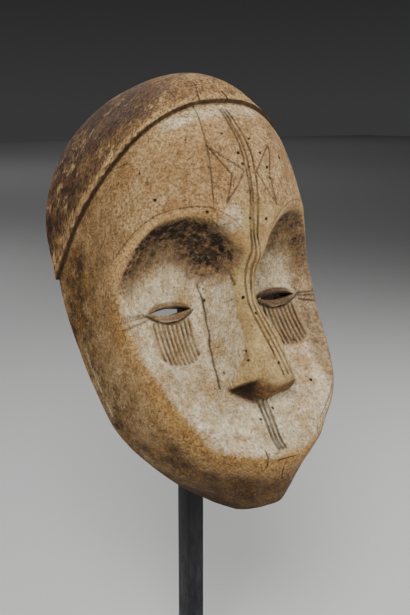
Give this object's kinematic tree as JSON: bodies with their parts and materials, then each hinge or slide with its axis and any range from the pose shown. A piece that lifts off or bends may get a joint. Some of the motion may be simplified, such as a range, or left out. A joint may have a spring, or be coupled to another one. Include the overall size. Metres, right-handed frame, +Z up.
{
  "type": "ngontang mask",
  "caption": "Hollow carved wooden helmet-front mask with a heart-shaped face, raised hood, slit eyes and triangular nose, leaning on a square steel display post with a foot plate.",
  "frame": {"origin": "middle of the foot plate's underside, on the axis of the post", "axes": "+Z up along the post, the face looks towards -Y, +X is the mask's own left cheek side"},
  "size_m": [0.2048, 0.2074, 0.5542],
  "materials": {
    "carved_wood": "dry hand-carved light wood with white kaolin on the face and brown, ochre and soot patina",
    "blackened_steel": "satin near-black, greyer and worn low down"
  },
  "bodies": {
    "root": {"mask": "carved_wood", "stand_post": "blackened_steel", "stand_foot": "blackened_steel", "crown_knob": "blackened_steel", "chin_arm": "blackened_steel"}
  },
  "joints": []
}
